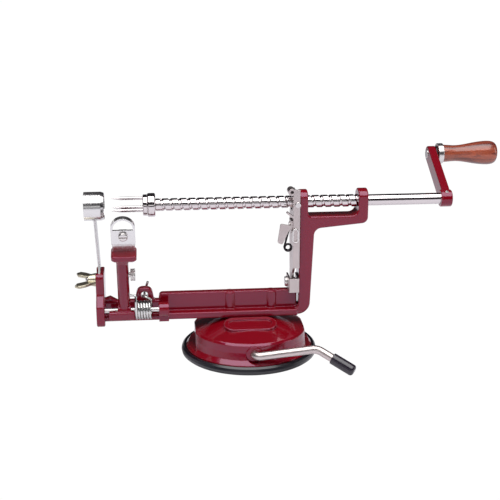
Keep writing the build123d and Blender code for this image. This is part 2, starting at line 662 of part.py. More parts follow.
def slicing_blade():
    """The upright blade: a bolted shank and a leaning cutting strip up to the ring."""
    left = shank_left_x()
    bend = PLATE_TOP + 2.0
    ring_low = AXIS_Z - RING_R
    side = outline_xz([(left, PLATE_STEP_Z + 0.4), (left + BLADE_T, PLATE_STEP_Z + 0.4),
                       (left + BLADE_T, bend), (left + BLADE_T - BLADE_LEAN, ring_low + 4),
                       (left - BLADE_LEAN, ring_low + 4), (left, bend)])
    strip = across_y(side, SHANK_HALF)
    waist = outline_yz([(-SHANK_HALF, 0), (SHANK_HALF, 0), (SHANK_HALF, PLATE_TOP - 1), (BLADE_HALF, bend + 3),
                        (BLADE_HALF, AXIS_Z), (-BLADE_HALF, AXIS_Z), (-BLADE_HALF, bend + 3),
                        (-SHANK_HALF, PLATE_TOP - 1)])
    strip &= across_x(waist, left - 10, left + 10)
    strip -= rod_x(BOLT_R + FIT, left - 1, left + BLADE_T + 1, 0, BOLT_Z)
    strip -= rod_x(RING_R, left - 20, left + 20, 0, AXIS_Z)
    front = [e for e in strip.edges() if e.length > 20 and abs(e.center().Y + BLADE_HALF) < 0.01]
    return chamfer(max(front, key=lambda e: e.center().X), BLADE_T * 0.6)


def coring_ring():
    """The tube that cuts out the core, sharpened towards the fork."""
    middle = shank_left_x() + BLADE_T / 2 - BLADE_LEAN
    left = middle - RING_L / 2
    inner = RING_R - RING_WALL
    tube = spun([(inner, 0), (RING_R, 0), (RING_R, RING_L - 2.2), (inner + 0.12, RING_L), (inner, RING_L)])
    return along_x(tube, left, 0, AXIS_Z)


def bolt_cone():
    """The bolt's countersunk head, flush with the plate's right face."""
    cone = spun([(0, 0), (BOLT_R, 0), (BOLT_HEAD_R, BOLT_HEAD_T), (0, BOLT_HEAD_T)])
    return along_x(cone, PLATE_RIGHT - BOLT_HEAD_T, 0, BOLT_Z)


def blade_bolt():
    """The countersunk bolt through the plate and the shank."""
    shank = rod_x(BOLT_R, BOLT_END_X, PLATE_RIGHT - BOLT_HEAD_T / 2, 0, BOLT_Z)
    return bolt_cone() + rounded(shank, 0, (BOLT_END_X,), 0.5)


def bolt_washer():
    """The flat washer under the wing nut."""
    right = shank_left_x()
    ring = rod_x(BOLT_WASHER_R, right - BOLT_WASHER_T, right, 0, BOLT_Z)
    return ring - rod_x(BOLT_R + FIT, right - 3, right + 1, 0, BOLT_Z)


def wing_nut():
    """The cast wing nut: a tapered hub and two flared wings."""
    right = shank_left_x() - BOLT_WASHER_T - 0.1
    hub = spun([(0, 0), (NUT_R, 0), (NUT_R, 1.2), (NUT_R - 1.0, NUT_L), (0, NUT_L)])
    wing = make_face(Polyline((2.6, 0, 0.6), (NUT_R + 0.4, 0, 0.6), (WING_SPAN - 2, 0, NUT_L + WING_L - 7.5),
                              (WING_SPAN, 0, NUT_L + WING_L - 3), (WING_SPAN - 2.2, 0, NUT_L + WING_L),
                              (WING_SPAN - 6, 0, NUT_L + WING_L - 1.2), (NUT_R - 1.6, 0, NUT_L),
                              (2.6, 0, NUT_L), close=True))
    wing = extrude(wing, amount=WING_T / 2, dir=(0, 1, 0), both=True)
    wing = rounded(wing, 1, (-WING_T / 2, WING_T / 2), 0.7)
    whole = hub + wing + Rot(0, 0, 180) * wing - Cylinder(BOLT_R + FIT, 60)
    return Pos(right, 0, BOLT_Z) * Rot(WING_TURN, 0, 0) * Rot(0, -90, 0) * whole


# ---------------------------------------------------------------- peeling arm
def arm_place():
    """The arm's own upright frame, leaned to the front about the rod."""
    return Pos(ARM_X, ROD_Y, ROD_Z) * Rot(ARM_LEAN, 0, 0)


def pivot_rod():
    """The plain rod that carries the arm and the spring."""
    return rod_x(ROD_R, PLATE_RIGHT - PLATE_T + 1.0, RAIL_LEFT + ROD_BOSS_L - 1.5, ROD_Y, ROD_Z)


def peeling_arm():
    """The cast arm: hub on the rod, foot bar, round-fronted post and broad head."""
    top = POST_H + HEAD_H
    half = HEAD_W / 2
    post = block(-POST_W / 2, POST_W / 2, -POST_D / 2, POST_D / 2, 0, POST_H + 1)
    post = fillet([e for e in post.edges().filter_by(Axis.Z) if e.center().Y < 0], 3.6)
    post = fillet([e for e in post.edges().filter_by(Axis.Z) if e.center().Y > POST_D / 2 - 0.01], 2.2)
    hub = rounded(rod_x(HUB_R, -HUB_L / 2, HUB_L / 2), 0, (-HUB_L / 2, HUB_L / 2), 0.8)
    foot = block(FOOT_SHIFT - FOOT_L / 2, FOOT_SHIFT + FOOT_L / 2, -6.8, -2.4, FOOT_LOW, FOOT_HIGH)
    foot = fillet(foot.edges().filter_by(Axis.X), 1.6)
    head = block(HEAD_SHIFT - half, HEAD_SHIFT + half, HEAD_FRONT, HEAD_BACK, POST_H, top)
    head = fillet(head.edges().filter_by(Axis.Z), 3.0)
    head = chamfer(head.edges().group_by(Axis.Z)[0], 1.6)
    head = fillet(head.edges().group_by(Axis.Z)[-1], 0.9)
    neck = loft([Pos(0, 0, POST_H - 5) * RectangleRounded(POST_W - 0.4, POST_D - 0.4, 2.2),
                 Pos(HEAD_SHIFT / 2, -1, POST_H + 1) * RectangleRounded(HEAD_W - 6.0, HEAD_BACK + 4.0, 2.2)])
    whole = post + hub + foot + neck + head
    whole -= rod_x(ROD_R + FIT, -20, 20)
    whole -= rod_x(STUD_R, POST_W / 2 - 4, POST_W / 2 + 1, 0, STUD_Z)
    for x in HOLDER_RIVET_XS:
        whole -= rod_z(HOLDER_RIVET_R, top - 3, top + 1, HEAD_SHIFT + x, HOLDER_RIVET_Y)
    whole -= rod_x(COIL_WIRE_R + 0.15, POST_W / 2 - 3.2, POST_W / 2 + 1, 0, SPRING_LEG_Z)
    return arm_place() * whole


def head_place():
    """The frame of the parts on the head, which sits a little to the right of the post."""
    return arm_place() * Pos(HEAD_SHIFT, 0, 0)


def holder_front():
    """Front face of the holder's upright wall, in the arm's own frame."""
    return -1.4


def blade_holder():
    """The bent steel bracket on the head, with its upright tongue for the peeler blade."""
    low = POST_H + HEAD_H
    front = holder_front()
    half = HOLDER_W / 2
    base = block(-half, half, front, HEAD_BACK - 0.4, low, low + HOLDER_T)
    waist = LOOP_R - LOOP_WALL - 0.3
    wall = outline_xz([(-half, low), (half, low), (half, low + HOLDER_SHOULDER), (waist, low + HOLDER_SHOULDER + 0.9),
                       (4.6, low + HOLDER_H), (-4.6, low + HOLDER_H), (-waist, low + HOLDER_SHOULDER + 0.9),
                       (-half, low + HOLDER_SHOULDER)], [(4, 3.5), (5, 3.5)])
    wall = Pos(0, front + HOLDER_T / 2, 0) * across_y(wall, HOLDER_T / 2)
    whole = base + wall - rod_y(PEELER_SCREW_R, -12, 12, 0, PEELER_SCREW_Z)
    for x in HOLDER_RIVET_XS:
        whole -= rod_z(HOLDER_RIVET_R, low - 1, low + HOLDER_T + 1, x, HOLDER_RIVET_Y)
    return head_place() * whole


def holder_rivets():
    """Two small rivets that fasten the holder to the head."""
    low = POST_H + HEAD_H
    group = []
    for x in HOLDER_RIVET_XS:
        top = low + HOLDER_T
        head = rounded(rod_z(1.45, top, top + 0.9, x, HOLDER_RIVET_Y), 2, (top + 0.9,), 0.4)
        group.append(head_place() * (head + rod_z(HOLDER_RIVET_R, low - 3, top + 0.2, x, HOLDER_RIVET_Y)))
    return Compound(children=group)


def peeler_blade():
    """The arched peeling blade with its foot under the screw, sharp at the back."""
    back = holder_front()
    front = back - LOOP_WALL
    centre = LOOP_TOP - LOOP_R
    foot = POST_H + HEAD_H + HOLDER_SHOULDER + 1.0
    outer = rod_y(LOOP_R, front, front + LOOP_D, 0, centre)
    outer += block(-LOOP_R, LOOP_R, front, front + LOOP_D, foot, centre)
    sharp = [e for e in rim_edges(outer, 1, (front + LOOP_D,)) if e.center().Z > foot + 0.1]
    outer = chamfer(sharp, LOOP_WALL - 0.15)
    hole = rod_y(LOOP_R - LOOP_WALL, front - 1, front + LOOP_D + 1, 0, centre)
    hole += block(-LOOP_R + LOOP_WALL, LOOP_R - LOOP_WALL, front - 1, front + LOOP_D + 1, foot - 1, centre)
    tab = block(-LOOP_R + 0.4, LOOP_R - 0.4, front, back, foot, PEELER_SCREW_Z + 4.5)
    return head_place() * (outer - hole + tab - rod_y(PEELER_SCREW_R, front - 1, back + 1, 0, PEELER_SCREW_Z))


def peeler_screw():
    """The round-head screw that clamps the blade on its holder."""
    face = holder_front() - LOOP_WALL
    end = holder_front() + HOLDER_T + 1.4
    head = rounded(rod_y(3.3, face - 2.4, face, 0, PEELER_SCREW_Z), 1, (face - 2.4,), 1.3)
    slot = block(-4, 4, face - 3, face - 1.5, PEELER_SCREW_Z - 0.45, PEELER_SCREW_Z + 0.45)
    return head_place() * (head + rod_y(PEELER_SCREW_R, face - 0.2, end, 0, PEELER_SCREW_Z) - slot)


def arm_stud():
    """The knurled stud on the side of the post."""
    near = POST_W / 2 + 1.2
    head = rounded(rod_x(STUD_HEAD_R, near, near + 3.2, 0, STUD_Z), 0, (near, near + 3.2), 0.5)
    return arm_place() * (head + rod_x(STUD_R, POST_W / 2 - 4, near + 0.2, 0, STUD_Z))


def torsion_spring():
    """The spring on the rod: its coil and one leg each to the lug and the arm."""
    turned = Rot(0, 0, -90) * coil(COIL_WIRE_R, COIL_R, COIL_TURNS, COIL_PITCH)
    body = along_x(turned, COIL_X, ROD_Y, ROD_Z)
    right = COIL_X + COIL_TURNS * COIL_PITCH
    back, front = ROD_Y + COIL_R, ROD_Y - COIL_R
    lug_leg = wire_rod(COIL_WIRE_R, [(right, back, ROD_Z - 0.7), (right, back, LUG_HOLE_Z - 2.4),
                                     (LUG_X, back, LUG_HOLE_Z), (LUG_X, RIB_HALF + 2.2, LUG_HOLE_Z),
                                     (LUG_X + 2.6, RIB_HALF + 2.2, LUG_HOLE_Z + 7.4)], 1.6)
    entry = arm_place() * Pos(POST_W / 2, 0, SPRING_LEG_Z)
    y, z = entry.position.Y, entry.position.Z
    arm_leg = wire_rod(COIL_WIRE_R, [(COIL_X, front, ROD_Z - 0.7), (COIL_X, front, z - 4.5), (COIL_X, y, z),
                                     (entry.position.X - 2.6, y, z)], 1.6)
    return body + lug_leg + arm_leg


# ---------------------------------------------------------------- release lever
def release_plate():
    """The sprung plate, open to the back round the shaft, with a front flange and a rolled top."""
    under, over = AXIS_Z - THREAD_R - 1.2, AXIS_Z + THREAD_R + 1.0
    gap = -THREAD_R - 0.9
    face = outline_yz([(-5.6, 48.2), (5.6, 48.2), (6.2, 62), (LEVER_BACK, AXIS_Z - 25), (LEVER_BACK, under),
                       (gap, under), (gap, over), (-2.0, over), (-2.0, LEVER_TOP), (LEVER_FRONT, LEVER_TOP),
                       (LEVER_FRONT, 66), (-6.2, 61)], [(0, 4.0), (1, 4.0), (4, 3.0)])
    plate = across_x(face, LEVER_X, LEVER_X + LEVER_T)
    flange = block(LEVER_X, LEVER_X + LEVER_FLANGE_W, LEVER_FRONT, LEVER_FRONT + LEVER_T, 66, LEVER_TOP)
    roll_x, roll_z = LEVER_X - 1.1, LEVER_TOP - 1.7
    finger = outline_xz([(LEVER_X + 0.5, AXIS_Z - 10.4), (LEVER_X + 0.5, AXIS_Z - 8.6),
                         (LEVER_X - 4.0, AXIS_Z - 4.8), (LEVER_X - 5.0, AXIS_Z - 5.8)])
    finger = Pos(0, LEVER_FRONT + 1.5, 0) * across_y(finger, 1.5)
    whole = plate + flange + finger + rod_y(ROLL_R, LEVER_FRONT, -2.0, roll_x, roll_z)
    whole -= rod_y(ROLL_R - 1.4, LEVER_FRONT - 1, -1.0, roll_x, roll_z)
    whole -= rod_x(PIVOT_R + FIT, LEVER_X - 1, LEVER_X + 3, 0, LEVER_PIVOT_Z)
    whole -= rod_x(TAB_RIVET_R, LEVER_X - 1, LEVER_X + 3, TAB_Y, TAB_Z)
    return whole - rod_y(PIN_BODY_R, LEVER_FRONT - 1, LEVER_FRONT + 3, PIN_X, AXIS_Z)


def release_pin():
    """The pin riveted in the flange, whose slim tip runs in the thread."""
    tip = -(THREAD_R - PIN_BITE)
    shoulder = -(THREAD_R + 0.9)
    head = rounded(rod_y(2.2, LEVER_FRONT - 1.0, LEVER_FRONT, PIN_X, AXIS_Z), 1, (LEVER_FRONT - 1.0,), 0.5)
    body = rod_y(PIN_BODY_R, LEVER_FRONT - 0.2, shoulder, PIN_X, AXIS_Z)
    nose = rod_y(PIN_R, shoulder - 0.2, tip, PIN_X, AXIS_Z)
    return head + body + rounded(nose, 1, (tip,), 0.15)


def thumb_tab():
    """The thumb tab: a blade that faces the front, on a root riveted to the lever's left face."""
    skin = LEVER_X - TAB_T
    blade = outline_xz([(skin - 9.6, TAB_Z - 11.8), (skin - 6.2, TAB_Z - 13.6), (skin - 1.6, TAB_Z - 3.5),
                        (skin, TAB_Z - 1.8), (LEVER_X - 0.4, TAB_Z - 1.8), (LEVER_X - 0.4, TAB_Z + 0.6),
                        (skin, TAB_Z + 0.6), (skin - 7.6, TAB_Z + 2.0)], [(0, 1.4), (1, 1.4), (7, 1.2)])
    blade = Pos(0, TAB_FRONT + TAB_T / 2, 0) * across_y(blade, TAB_T / 2)
    root = block(skin, LEVER_X, TAB_FRONT, 0.5, TAB_Z - 4.5, TAB_Z + 4.0)
    return blade + root - rod_x(TAB_RIVET_R, LEVER_X - 3, LEVER_X + 3, TAB_Y, TAB_Z)


def tab_rivet():
    """The rivet that holds the thumb tab to the plate."""
    left = LEVER_X - TAB_T
    head = rounded(rod_x(2.2, left - 1.1, left, TAB_Y, TAB_Z), 0, (left - 1.1,), 0.5)
    return head + rod_x(TAB_RIVET_R, left - 0.2, LEVER_X + LEVER_T, TAB_Y, TAB_Z)


def trip_link():
    """The flat oval link on the front of the lever's flange."""
    outer = extrude(SlotOverall(LINK_L, LINK_W), amount=LINK_T)
    inner = extrude(SlotOverall(LINK_L - 2 * LINK_T, LINK_W - 2 * LINK_T), amount=3 * LINK_T, both=True)
    ring = fillet(outer.edges().group_by(Axis.Z)[-1], 0.4) - inner
    return Pos(LINK_X, LEVER_FRONT, LINK_Z) * Rot(90, 0, 0) * Rot(0, 0, 90) * ring


def trip_spring():
    """The small black spring: a leg that rests on the back of the thumb tab, and a coil below it."""
    turned = Rot(0, 0, 180 - TRIP_LEAN) * coil(TRIP_WIRE_R, TRIP_COIL_R, 1.5, 2.1 * TRIP_WIRE_R)
    leg = Pos(TRIP_COIL_R, 0, 0) * rod_y(TRIP_LEG_R, -TRIP_LEG_L, 0.5)
    leg = Rot(0, 0, 180 - TRIP_LEAN) * leg
    y = TAB_FRONT + TAB_T + TRIP_LEG_R
    return Pos(TRIP_X, y, TRIP_Z) * Rot(90, 0, 0) * (turned + leg)


def lever_bracket():
    """The folded bracket at the lever's foot: a front wall and two cheeks."""
    low = RIB_TOP + 0.1
    right = COLUMN_X
    wall = block(BRACKET_X, right, BRACKET_FRONT, BRACKET_FRONT + BRACKET_T, low, low + BRACKET_H)
    cheek_a = block(BRACKET_X, BRACKET_X + BRACKET_T, BRACKET_FRONT, 5.0, low, low + BRACKET_H)
    cheek_b = block(right - BRACKET_T, right, BRACKET_FRONT, 5.0, low, low + BRACKET_H)
    whole = wall + cheek_a + cheek_b
    upright = [e for e in whole.edges().filter_by(Axis.Z) if abs(e.center().Y - BRACKET_FRONT) < 0.01]
    return fillet(upright, 1.0) - rod_x(PIVOT_R, BRACKET_X - 1, right + 1, 0, LEVER_PIVOT_Z)


def lever_pivot_screw():
    """The screw through the bracket and the lever into the column."""
    head = rounded(rod_x(3.7, BRACKET_X - 1.9, BRACKET_X, 0, LEVER_PIVOT_Z), 0, (BRACKET_X - 1.9,), 0.8)
    head -= block(BRACKET_X - 3, BRACKET_X - 1.0, -0.5, 0.5, LEVER_PIVOT_Z - 5, LEVER_PIVOT_Z + 5)
    return head + rod_x(PIVOT_R, BRACKET_X - 0.5, COLUMN_X + 5, 0, LEVER_PIVOT_Z)


def lever_spring():
    """The small coil on the pivot that presses the lever to the thread."""
    left = LEVER_X + LEVER_T + 0.15
    turned = Rot(0, 0, 180) * coil(PIVOT_WIRE_R, PIVOT_COIL_R, 1.5, 2.2 * PIVOT_WIRE_R)
    return along_x(turned, left + PIVOT_WIRE_R, 0, LEVER_PIVOT_Z)


# ---------------------------------------------------------------- output
NODES = {
    "frame_casting": frame_casting,
    "base_housing": base_housing,
    "base_screws": base_screws,
    "suction_cup": suction_cup,
    "pull_stud": pull_stud,
    "cam_shaft": cam_shaft,
    "suction_lever": suction_lever,
    "lever_tip": lever_tip,
    "slicing_blade": slicing_blade,
    "coring_ring": coring_ring,
    "blade_bolt": blade_bolt,
    "bolt_washer": bolt_washer,
    "wing_nut": wing_nut,
    "pivot_rod": pivot_rod,
    "torsion_spring": torsion_spring,
    "peeling_arm": peeling_arm,
    "blade_holder": blade_holder,
    "holder_rivets": holder_rivets,
    "peeler_blade": peeler_blade,
    "peeler_screw": peeler_screw,
    "arm_stud": arm_stud,
    "feed_collar": feed_collar,
    "threaded_shaft": threaded_shaft,
    "fruit_fork": fruit_fork,
    "crank_arm": crank_arm,
    "crank_pin": crank_pin_solid,
    "handle_pin": handle_pin,
    "handle_washer": handle_washer,
    "grip_ferrule": grip_ferrule,
    "wooden_grip": wooden_grip,
    "release_plate": release_plate,
    "release_pin": release_pin,
    "thumb_tab": thumb_tab,
    "tab_rivet": tab_rivet,
    "trip_link": trip_link,
    "trip_spring": trip_spring,
    "lever_bracket": lever_bracket,
    "lever_pivot_screw": lever_pivot_screw,
    "lever_spring": lever_spring,
}

os.makedirs("parts", exist_ok=True)
for name, make in NODES.items():
    export_step(make(), f"parts/{name}.step")
    print(name)
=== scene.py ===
# %% [markdown]
# # An apple peeler and corer, dressed for the camera
# The tool is a red cast frame on a suction base. A plated feed shaft runs through it, with a
# wooden grip at one end and a fork for the apple at the other. The working model comes in as
# a fixed frame, with every part at its true place and size. This lesson gives each part its
# finish, and remakes the parts whose look needs more than a working model has. All lengths
# are in metres, so a small constant turns millimetres into metres.

# %% Load the working model
import json
from math import cos, pi, radians, sin

import bmesh
import bpy
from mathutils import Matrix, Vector

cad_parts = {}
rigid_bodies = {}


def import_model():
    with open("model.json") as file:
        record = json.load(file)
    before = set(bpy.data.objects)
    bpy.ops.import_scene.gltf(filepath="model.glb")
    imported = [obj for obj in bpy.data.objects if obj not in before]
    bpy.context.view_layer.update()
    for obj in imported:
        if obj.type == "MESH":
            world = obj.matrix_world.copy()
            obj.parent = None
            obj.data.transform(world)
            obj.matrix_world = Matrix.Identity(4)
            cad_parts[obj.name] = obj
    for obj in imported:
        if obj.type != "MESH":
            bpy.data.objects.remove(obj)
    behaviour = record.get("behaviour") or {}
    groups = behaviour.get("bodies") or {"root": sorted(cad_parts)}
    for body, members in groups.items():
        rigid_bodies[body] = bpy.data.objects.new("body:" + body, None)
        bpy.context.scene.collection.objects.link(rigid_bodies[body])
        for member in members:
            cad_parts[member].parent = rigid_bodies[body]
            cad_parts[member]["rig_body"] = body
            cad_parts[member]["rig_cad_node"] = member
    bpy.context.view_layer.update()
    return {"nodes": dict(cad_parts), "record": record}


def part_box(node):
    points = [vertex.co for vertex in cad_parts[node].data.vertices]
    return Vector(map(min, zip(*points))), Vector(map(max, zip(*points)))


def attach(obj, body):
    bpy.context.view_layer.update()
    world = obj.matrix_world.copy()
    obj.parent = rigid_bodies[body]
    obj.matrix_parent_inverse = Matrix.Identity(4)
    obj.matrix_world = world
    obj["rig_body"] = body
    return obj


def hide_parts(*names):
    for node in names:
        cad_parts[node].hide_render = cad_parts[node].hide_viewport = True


MM = 0.001
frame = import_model()
nodes = frame["nodes"]

# %% [markdown]
# ## The camera
# The view is from the front, a little to the left of square and from above by about sixteen
# degrees, with a long lens. A long lens keeps the shaft straight and the two ends of the tool
# at almost the same scale. The camera is placed by two angles and a distance from a point it
# looks at, which is easier to adjust than a position and a rotation.

# %% Camera
VIEW_TURN = radians(-5.6)
VIEW_RISE = radians(16.4)
VIEW_DISTANCE = 0.727
VIEW_TARGET = Vector((0.001, 0, 0.0776))
LENS, SENSOR = 72, 36      # in millimetres, as lenses are sold
FAR_CLIP = 100


def look_from(turn, rise):
    """The direction from the target to a camera that stands at these two angles."""
    return Vector((sin(turn) * cos(rise), -cos(turn) * cos(rise), sin(rise)))


def aim(thing, point):
    """Turn a camera or a lamp so that it looks at a point."""
    thing.rotation_euler = (point - thing.location).to_track_quat("-Z", "Y").to_euler()


camera_data = bpy.data.cameras.new("camera")
camera_data.lens = LENS
camera_data.sensor_width = SENSOR
camera_data.clip_end = FAR_CLIP
camera = bpy.data.objects.new("camera", camera_data)
bpy.context.scene.collection.objects.link(camera)
camera.location = VIEW_TARGET + look_from(VIEW_TURN, VIEW_RISE) * VIEW_DISTANCE
aim(camera, VIEW_TARGET)
bpy.context.scene.camera = camera
bpy.context.scene.view_settings.view_transform = "Standard"
print("camera stands at", [round(v, 3) for v in camera.location])

# %% [markdown]
# ## Light and table
# Polished metal shows only what stands around it, so the light is planned as a mirror would
# see it. One large soft panel hangs overhead and a little to the front. The studio round it is
# dim. A plated shaft then shows a white upper side, a dark line at the height of the horizon,
# and the pale table below. The same panel gives enamel its bright line along every rounded
# edge, while flat upward faces stay deep red.

# %% Lights
LIT_POINT = Vector((0, 0, 0.08))
STUDIO_DIM = (0.03, 0.027, 0.032, 1)


def soft_panel(name, place, size, radiance):
    """A rectangular light, set by how bright its face looks rather than by its power."""
    data = bpy.data.lights.new(name, "AREA")
    data.shape = "RECTANGLE"
    data.size, data.size_y = size
    data.energy = radiance * pi * size[0] * size[1]
    lamp = bpy.data.objects.new(name, data)
    bpy.context.scene.collection.objects.link(lamp)
    lamp.location = place
    aim(lamp, LIT_POINT)
    print(name, "power", round(data.energy, 1), "W")


soft_panel("overhead_panel", Vector((-0.05, -0.32, 1.12)), (1.5, 1.25), 3.6)
soft_panel("front_fill", Vector((-0.3, -1.5, 0.36)), (1.4, 0.25), 0.9)
soft_panel("right_strip", Vector((1.1, -0.25, 0.45)), (0.35, 0.7), 2.2)

studio = bpy.data.worlds.new("studio")
bpy.context.scene.world = studio
studio.use_nodes = True
studio.node_tree.nodes["Background"].inputs["Strength"].default_value = 1.0

# %% [markdown]
# The table is a sheet of white paper. Product pictures often have a background that is pure
# white, without a shadow. The Light Path node tells a ray that comes from the camera from one
# that comes by way of a reflection. The camera sees plain white, and the metal still sees
# paper that is lit, shaded and dark in the distance.

# %% Table
TABLE_SIZE = 80            # wide enough that its far edge is never seen
PAPER = (0.84, 0.83, 0.88, 1)
bpy.ops.object.select_all(action="DESELECT")
bpy.ops.mesh.primitive_plane_add(size=TABLE_SIZE)
table = bpy.context.object
table.name = "table"
paper = bpy.data.materials.new("table_paper")
paper.use_nodes = True
paper_nodes = paper.node_tree.nodes
sheet = paper_nodes["Principled BSDF"]
sheet.inputs["Base Color"].default_value = PAPER
sheet.inputs["Roughness"].default_value = 0.95
sheet.inputs["Specular IOR Level"].default_value = 0.1
white = paper_nodes.new("ShaderNodeEmission")
white.inputs["Strength"].default_value = 1.02
who_looks = paper_nodes.new("ShaderNodeLightPath")
choice = paper_nodes.new("ShaderNodeMixShader")
paper.node_tree.links.new(who_looks.outputs["Is Camera Ray"], choice.inputs["Fac"])
paper.node_tree.links.new(sheet.outputs["BSDF"], choice.inputs[1])
paper.node_tree.links.new(white.outputs["Emission"], choice.inputs[2])
paper.node_tree.links.new(choice.outputs["Shader"], paper_nodes["Material Output"].inputs["Surface"])
table.data.materials.append(paper)
print("table is", TABLE_SIZE, "m wide")

# %% [markdown]
# From a low angle the camera looks past the table's far edge. The studio's background gets the
# same treatment there: white to the camera, and dim to everything that reflects it.

# %% White beyond the table
sky = studio.node_tree
backdrop = sky.nodes.new("ShaderNodeMix")
backdrop.data_type = "RGBA"
factor, dim, bright = backdrop.inputs[0], backdrop.inputs[6], backdrop.inputs[7]
dim.default_value = STUDIO_DIM
bright.default_value = (1, 1, 1, 1)
sky.links.new(sky.nodes.new("ShaderNodeLightPath").outputs["Is Camera Ray"], factor)
sky.links.new(backdrop.outputs[2], sky.nodes["Background"].inputs["Color"])
print("background:", [round(v, 3) for v in dim.default_value], "or white to the camera")

# %% [markdown]
# ## Shared effects
# Some effects belong to many materials: the slight orange-peel of sprayed enamel, the fine
# lines of turned or rolled metal, a lighter colour along edges that is partly worn paint and
# partly a painted highlight, and dust that settles on upward faces. Each is a node group, made
# once. A group has sockets for what differs from one material to the next.


# %% Helpers for node trees
def new_group(name, inputs, outputs):
    """An empty node group. Inputs are (name, type, value), outputs are (name, type)."""
    tree = bpy.data.node_groups.new(name, "ShaderNodeTree")
    for label, kind, value in inputs:
        socket = tree.interface.new_socket(name=label, in_out="INPUT", socket_type="NodeSocket" + kind)
        socket.default_value = value
    for label, kind in outputs:
        tree.interface.new_socket(name=label, in_out="OUTPUT", socket_type="NodeSocket" + kind)
    return tree, tree.nodes.new("NodeGroupInput"), tree.nodes.new("NodeGroupOutput")


def add(tree, kind, **values):
    """A node with some of its sockets or settings set by name. Spaces are written as underscores."""
    made = tree.nodes.new("ShaderNode" + kind)
    for label, value in values.items():
        socket = made.inputs.get(label.replace("_", " "))
        if socket is None:
            setattr(made, label, value)
        elif isinstance(value, bpy.types.NodeSocket):
            tree.links.new(value, socket)
        else:
            socket.default_value = value
    return made


def maths(tree, operation, first, second=0.0):
    """A Math node on two sockets or numbers."""
    made = add(tree, "Math", operation=operation)
    for slot, value in zip(made.inputs, (first, second)):
        if isinstance(value, bpy.types.NodeSocket):
            tree.links.new(value, slot)
        else:
            slot.default_value = value
    return made.outputs[0]


def blend_colours(tree, share, first, second):
    """A colour that goes from the first to the second as share goes from 0 to 1."""
    made = add(tree, "Mix", data_type="RGBA")
    for slot, value in zip((made.inputs[0], made.inputs[6], made.inputs[7]), (share, first, second)):
        if isinstance(value, bpy.types.NodeSocket):
            tree.links.new(value, slot)
        else:
            slot.default_value = value
    return made.outputs[2]


# %% Sprayed skin: small bumps over broad waves
GRAIN_SHARE = 0.25         # how strong the fine grain is against the waves
sprayed, enter, leave = new_group("sprayed_skin", [("Grain", "Float", 900.0), ("Wave", "Float", 90.0)],
                                  [("Height", "Float")])
spot = add(sprayed, "TexCoord").outputs["Object"]
grain = add(sprayed, "TexNoise", Vector=spot, Scale=enter.outputs["Grain"], Detail=2.0)
wave = add(sprayed, "TexNoise", Vector=spot, Scale=enter.outputs["Wave"], Detail=1.0)
fine = maths(sprayed, "MULTIPLY", grain.outputs["Fac"], GRAIN_SHARE)
height = maths(sprayed, "ADD", fine, wave.outputs["Fac"])
sprayed.links.new(height, leave.inputs["Height"])

# %% Fine lines: a noise that is stretched along one direction
lines, enter, leave = new_group(
    "fine_lines",
    [("Stretch", "Vector", (1.0, 1.0, 1.0)), ("Low", "Float", 0.1), ("High", "Float", 0.3)],
    [("Height", "Float"), ("Roughness", "Float")])
spot = add(lines, "TexCoord").outputs["Object"]
stretched = add(lines, "VectorMath", operation="MULTIPLY")
lines.links.new(spot, stretched.inputs[0])
lines.links.new(enter.outputs["Stretch"], stretched.inputs[1])
scratches = add(lines, "TexNoise", Vector=stretched.outputs[0], Scale=1.0, Detail=3.0)
patches = add(lines, "TexNoise", Vector=spot, Scale=70.0, Detail=2.0)
both = maths(lines, "MULTIPLY", maths(lines, "ADD", scratches.outputs["Fac"], patches.outputs["Fac"]), 0.5)
spread = add(lines, "MapRange", Value=both)
spread.inputs["From Min"].default_value = 0.35
spread.inputs["From Max"].default_value = 0.65
lines.links.new(enter.outputs["Low"], spread.inputs["To Min"])
lines.links.new(enter.outputs["High"], spread.inputs["To Max"])
lines.links.new(scratches.outputs["Fac"], leave.inputs["Height"])
lines.links.new(spread.outputs[0], leave.inputs["Roughness"])

# %% Worn edges and painted highlight: where a rounded normal leaves the true one, the surface is an edge, lightened partly as worn paint and partly as a painted highlight
EDGE_GAIN = 5.0            # how soon the edge colour shows as the two normals part
edge_wear_and_highlight, enter, leave = new_group(
    "worn_and_highlit_edges",
    [("Base Color", "Color", (1, 1, 1, 1)), ("Edge Color", "Color", (1, 1, 1, 1)),
     ("Width", "Float", 0.0006), ("Amount", "Float", 1.0)],
    [("Base Color", "Color"), ("Normal", "Vector")])
rounded = add(edge_wear_and_highlight, "Bevel", samples=4)
edge_wear_and_highlight.links.new(enter.outputs["Width"], rounded.inputs["Radius"])
unrounded = add(edge_wear_and_highlight, "NewGeometry").outputs["Normal"]
along = add(edge_wear_and_highlight, "VectorMath", operation="DOT_PRODUCT")
edge_wear_and_highlight.links.new(rounded.outputs["Normal"], along.inputs[0])
edge_wear_and_highlight.links.new(unrounded, along.inputs[1])
turned = maths(edge_wear_and_highlight, "MULTIPLY", maths(edge_wear_and_highlight, "SUBTRACT", 1.0, along.outputs["Value"]), EDGE_GAIN)
spot = add(edge_wear_and_highlight, "TexCoord").outputs["Object"]
broken = add(edge_wear_and_highlight, "TexNoise", Vector=spot, Scale=420.0, Detail=3.0)
ragged = maths(edge_wear_and_highlight, "MULTIPLY", turned, broken.outputs["Fac"])
share = add(edge_wear_and_highlight, "Clamp", Value=maths(edge_wear_and_highlight, "MULTIPLY", ragged, enter.outputs["Amount"])).outputs[0]
# The edge colour is partly worn paint and partly a painted highlight standing in for light on rounded edges.
edge_wear_and_highlight.links.new(blend_colours(edge_wear_and_highlight, share, enter.outputs["Base Color"], enter.outputs["Edge Color"]),
               leave.inputs["Base Color"])
edge_wear_and_highlight.links.new(rounded.outputs["Normal"], leave.inputs["Normal"])

